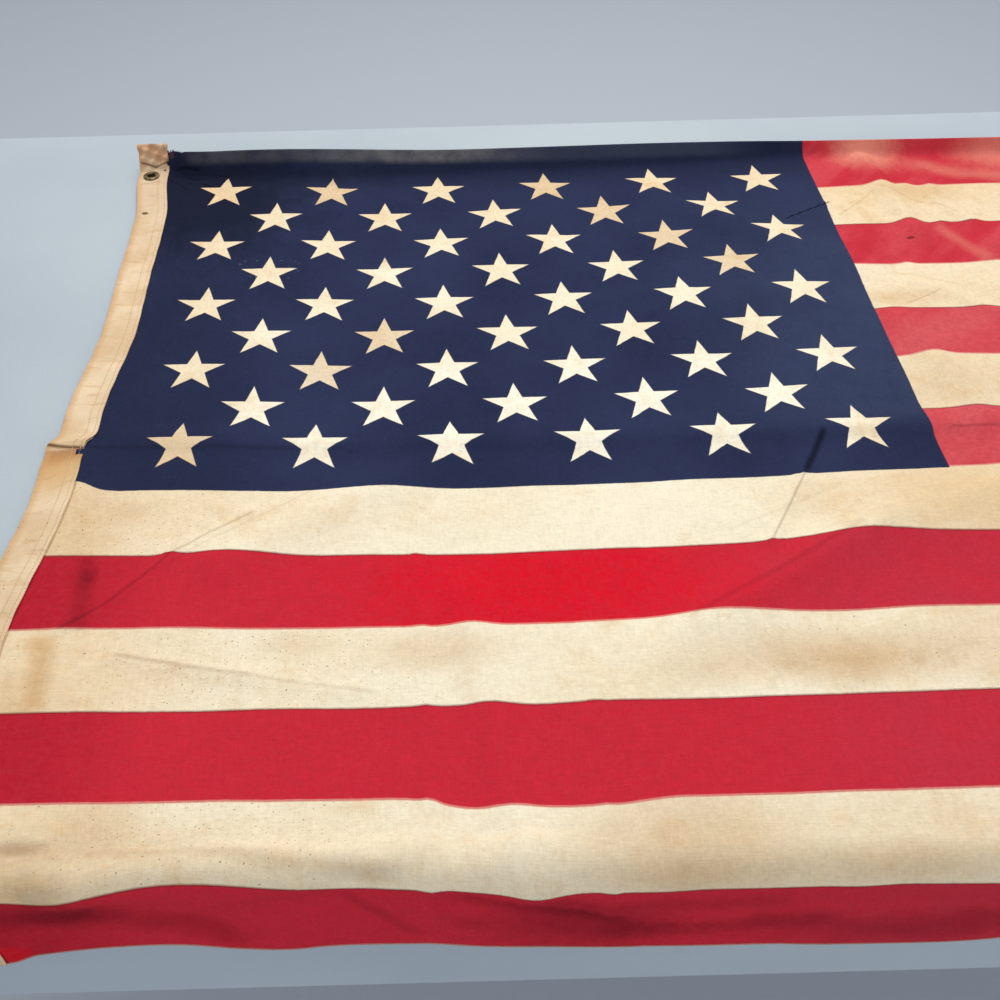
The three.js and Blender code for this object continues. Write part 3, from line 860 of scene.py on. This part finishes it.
runs = np.concatenate([
    np.linspace(0, 30, 24), [30.4, 30.8, 31.0, 31.2, 31.6], np.linspace(32, 62, 24),
])
rows = np.concatenate([
    np.arange(HEADING_TOP, 30, 2.0), np.arange(30, BOTTOM - 40, 4.0),
    np.linspace(BOTTOM - 40, BOTTOM, 21),
])
grid_run, grid_v = np.meshgrid(runs, rows)
grid_u, grid_n = tape_section(grid_run)
facing = np.where(grid_run > HEADING_WIDTH, -1.0, 1.0)
edge_turn = np.clip((grid_u + HEADING_WIDTH) / FOLD_TURN, 0, 1)
swing = TAPE_HALF * np.sqrt(1 - edge_turn**2)
lift = rumple(grid_u, grid_v)
outer = on_cloth(grid_u - swing, grid_v, grid_n + facing * TAPE_HALF * edge_turn + lift)
inner = on_cloth(grid_u + swing, grid_v, grid_n - facing * TAPE_HALF * edge_turn + lift)
mid_u = (grid_u[1:, 1:] + grid_u[:-1, :-1]) / 2
mid_v = (grid_v[1:, 1:] + grid_v[:-1, :-1]) / 2
keep = np.ones(mid_u.shape, bool)
for ring_v in RING_VS:
    keep &= np.hypot(mid_u - RING_U, mid_v - ring_v) > RING_CUT
heading = two_faced("heading_tape", outer, inner, keep, heading_material, grid_u, grid_v)
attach(heading, "root")
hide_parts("heading")


# ---------------------------------------------------------------- heading stitches
# Two rows of cotton lock stitches run down the heading and hold it to the cloth.
# Each stitch is a short length of thread that dips into the canvas at both of its ends.

thread_material, thread_surface, w = new_material("cotton_thread", 0.9, specular=0.2)
place = w.node("ShaderNodeTexCoord", out=3)
strand = w.between(paint(214, 182, 138), paint(240, 220, 186), w.noise(place, 60.0))
plug(strand, thread_surface, "Base Color")

STITCH = 3.2
STITCH_GAP = 0.7
THREAD = 0.28
SIDES = 6
STATIONS = np.array([0.0, 0.2, 0.5, 0.8, 1.0])
STITCH_DIP = 0.25
STITCH_RISE = 0.5
STITCH_ROWS = (-3.0, -9.5)
FIRST_STITCH = -16.0


def stitch_row(at_u, first_v, last_v):
    """The points and faces of one row of stitches."""
    starts = np.arange(first_v, last_v - STITCH, STITCH)
    ring = np.arange(SIDES) * 2 * math.pi / SIDES
    along = starts[:, None] + STITCH_GAP / 2 + STATIONS[None, :] * (STITCH - STITCH_GAP)
    height = -STITCH_DIP + STITCH_RISE * np.sin(STATIONS * math.pi)
    there_v = along[:, :, None] + 0 * ring
    there_u = at_u + THREAD * np.cos(ring) + 0 * there_v
    raised = tape_stand(at_u) + TAPE_HALF + height[None, :, None]
    raised = raised + THREAD * np.sin(ring) + rumple(at_u, there_v)
    points = on_cloth(there_u, there_v, raised).reshape(-1, 3)
    faces = []
    count = len(STATIONS)
    for k in range(len(starts)):
        base = k * count * SIDES
        for i in range(count - 1):
            for j in range(SIDES):
                a = base + i * SIDES + j
                b = base + i * SIDES + (j + 1) % SIDES
                faces.append((a, b, b + SIDES, a + SIDES))
    return points, faces


stitch_points, stitch_faces = [], []
for at_u in STITCH_ROWS:
    points, faces = stitch_row(at_u, FIRST_STITCH, BOTTOM - 3)
    begin = sum(len(p) for p in stitch_points)
    stitch_points.append(points)
    stitch_faces += [tuple(i + begin for i in face) for face in faces]
stitch_points = np.concatenate(stitch_points)
stitches = add_mesh("heading_stitches", stitch_points, stitch_faces, thread_material)
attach(stitches, "root")


# ---------------------------------------------------------------- grommets
# Two stamped brass eyelets, each a rolled flange on the upper face, a barrel through the
# canvas and a flat washer beneath. They have tarnished to a dark brown.

brass_material, brass_surface, w = new_material("tarnished_brass", 0.42, metallic=1.0)
place = w.node("ShaderNodeTexCoord", out=3)
tarnish = w.noise(place, 160.0, 4.0, 0.6)
metal = w.between(paint(74, 62, 44), paint(134, 118, 84), tarnish.step(0.35, 0.65))
plug(metal, brass_surface, "Base Color")
plug(0.34 + tarnish * 0.25, brass_surface, "Roughness")

# Radius and height of each corner of the ring's section, in millimetres.
RING_PROFILE = [
    (4.0, -2.0), (4.6, -2.15), (7.4, -2.0), (7.7, -1.8), (7.4, -1.6), (4.3, -1.55),
    (4.3, 1.5), (7.9, 1.5), (8.45, 1.62), (8.35, 1.95), (7.7, 2.3), (6.6, 2.62),
    (5.4, 2.72), (4.5, 2.55), (4.1, 2.15), (4.0, 1.6),
]
RING_SEGMENTS = 48
for name, ring_v in zip(("grommet_top", "grommet_bottom"), RING_VS):
    middle = Vector(on_cloth(RING_U, ring_v)[()])
    normal = (Vector(on_cloth(RING_U, ring_v, 1.0)[()]) - middle).normalized()
    turn_to = normal.to_track_quat("Z", "Y").to_matrix()
    points, faces = [], []
    count = len(RING_PROFILE)
    for s in range(RING_SEGMENTS):
        angle = 2 * math.pi * s / RING_SEGMENTS
        for radius, height in RING_PROFILE:
            spot = Vector((radius * math.cos(angle), radius * math.sin(angle), height)) * MM
            points.append(middle + turn_to @ spot)
        for k in range(count):
            a = s * count + k
            b = s * count + (k + 1) % count
            c = (s + 1) % RING_SEGMENTS * count
            faces.append((a, c + k, c + (k + 1) % count, b))
    ring = add_mesh("brass_" + name, points, faces, brass_material)
    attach(ring, "root")
    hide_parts(name)
